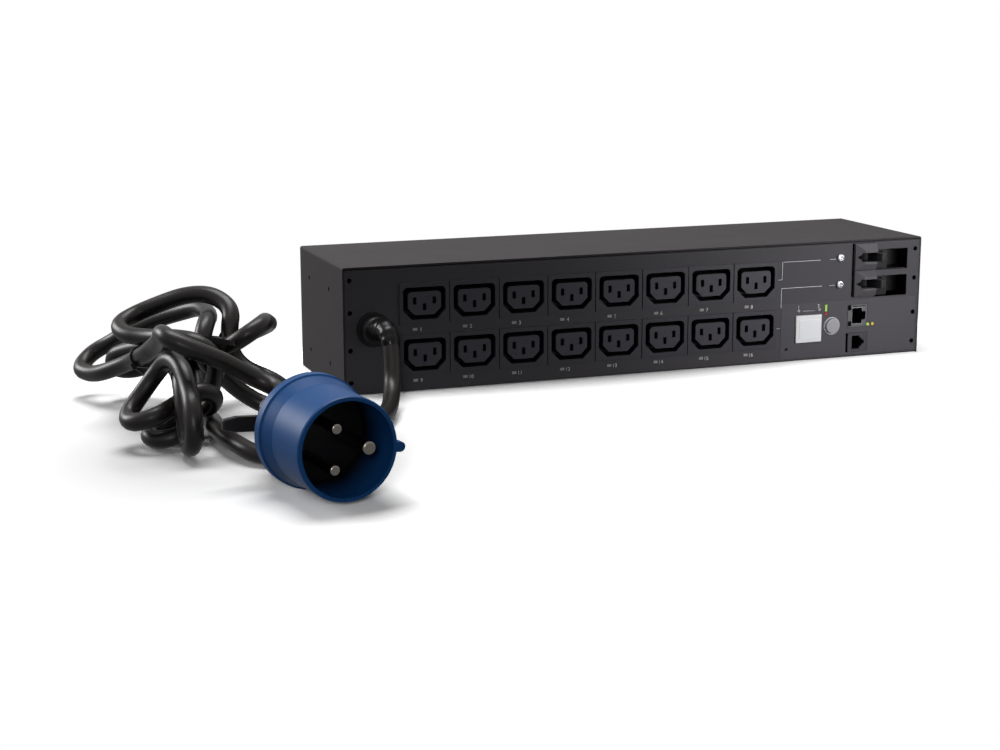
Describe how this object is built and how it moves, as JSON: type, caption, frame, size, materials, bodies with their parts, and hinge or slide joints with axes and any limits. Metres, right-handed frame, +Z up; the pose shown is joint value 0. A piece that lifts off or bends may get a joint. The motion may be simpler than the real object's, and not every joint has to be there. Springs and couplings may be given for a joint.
{
  "type": "rack power distribution unit",
  "caption": "Two-unit rack power distribution unit: outlet grid, breaker toggles, status panel and a bundled supply cord with a blue pin-and-sleeve plug.",
  "frame": {"origin": "middle of the case's bottom face", "axes": "+X to the right seen from the front, +Y from the front panel to the back, +Z up"},
  "size_m": [0.62, 0.3918, 0.088],
  "materials": {
    "case_steel": "satin powder coat",
    "outlet_plastic": "moulded nylon, satin",
    "contact_brass": "plain",
    "breaker_plastic": "moulded, satin",
    "zinc_steel": "zinc plated",
    "circuit_board": "glass-fibre laminate",
    "printed_sheet": "matt film",
    "white_plastic": "satin",
    "black_plastic": "satin",
    "lit_plastic": "clear lens",
    "jack_metal": "tinned",
    "transformer_iron": "laminated",
    "lead_plastic": "insulated wire",
    "plug_blue": "moulded nylon, satin gloss",
    "pin_nickel": "nickel plated",
    "cord_rubber": "satin jacket"
  },
  "bodies": {
    "case": {"bank_leds": "lit_plastic", "breaker_1_body": "breaker_plastic", "breaker_2_body": "breaker_plastic", "breaker_screws": "zinc_steel", "bushing_nut": "zinc_steel", "button_switch": "black_plastic", "cable_ties": "black_plastic", "chassis_tray": "case_steel", "control_board": "circuit_board", "control_overlay": "printed_sheet", "control_transformer": "transformer_iron", "cord_bushing": "black_plastic", "cord_hank": "cord_rubber", "cover_screws": "zinc_steel", "current_sensors": "black_plastic", "display_module": "white_plastic", "earth_contacts": "contact_brass", "earth_lead": "lead_plastic", "earth_stud": "zinc_steel", "green_status_led": "lit_plastic", "input_terminal_block": "black_plastic", "line_contacts": "contact_brass", "line_lead": "lead_plastic", "link_leds": "lit_plastic", "network_jack": "jack_metal", "neutral_contacts": "contact_brass", "neutral_lead": "lead_plastic", "outlet_01": "outlet_plastic", "outlet_02": "outlet_plastic", "outlet_03": "outlet_plastic", "outlet_04": "outlet_plastic", "outlet_05": "outlet_plastic", "outlet_06": "outlet_plastic", "outlet_07": "outlet_plastic", "outlet_08": "outlet_plastic", "outlet_09": "outlet_plastic", "outlet_10": "outlet_plastic", "outlet_11": "outlet_plastic", "outlet_12": "outlet_plastic", "outlet_13": "outlet_plastic", "outlet_14": "outlet_plastic", "outlet_15": "outlet_plastic", "outlet_16": "outlet_plastic", "outlet_cores": "outlet_plastic", "outlet_leds": "lit_plastic", "outlet_relays": "black_plastic", "plug_earth_pin": "pin_nickel", "plug_gland_nut": "black_plastic", "plug_housing": "black_plastic", "plug_power_pins": "pin_nickel", "plug_shroud": "plug_blue", "power_cord_case_end": "cord_rubber", "power_cord_plug_end": "cord_rubber", "red_status_led": "lit_plastic", "relay_board": "circuit_board", "serial_jack": "black_plastic", "top_cover": "case_steel"},
    "button": {"function_button": "white_plastic"},
    "toggle_1": {"breaker_1_toggle": "breaker_plastic"},
    "toggle_2": {"breaker_2_toggle": "breaker_plastic"}
  },
  "joints": [
    {"name": "function_button_press", "type": "slide", "parent": "case", "child": "button", "axis": [0, 1, 0], "range_m": [0, 0.0008], "stiffness_N_per_m": 400, "springref_m": -0.002},
    {"name": "breaker_1_switch", "type": "hinge", "parent": "case", "child": "toggle_1", "pos_m": [0.1817, -0.049, 0.07525], "axis": [0, 0, 1], "range_deg": [-28, 0]},
    {"name": "breaker_2_switch", "type": "hinge", "parent": "case", "child": "toggle_2", "pos_m": [0.1817, -0.049, 0.05535], "axis": [0, 0, 1], "range_deg": [-28, 0]}
  ]
}
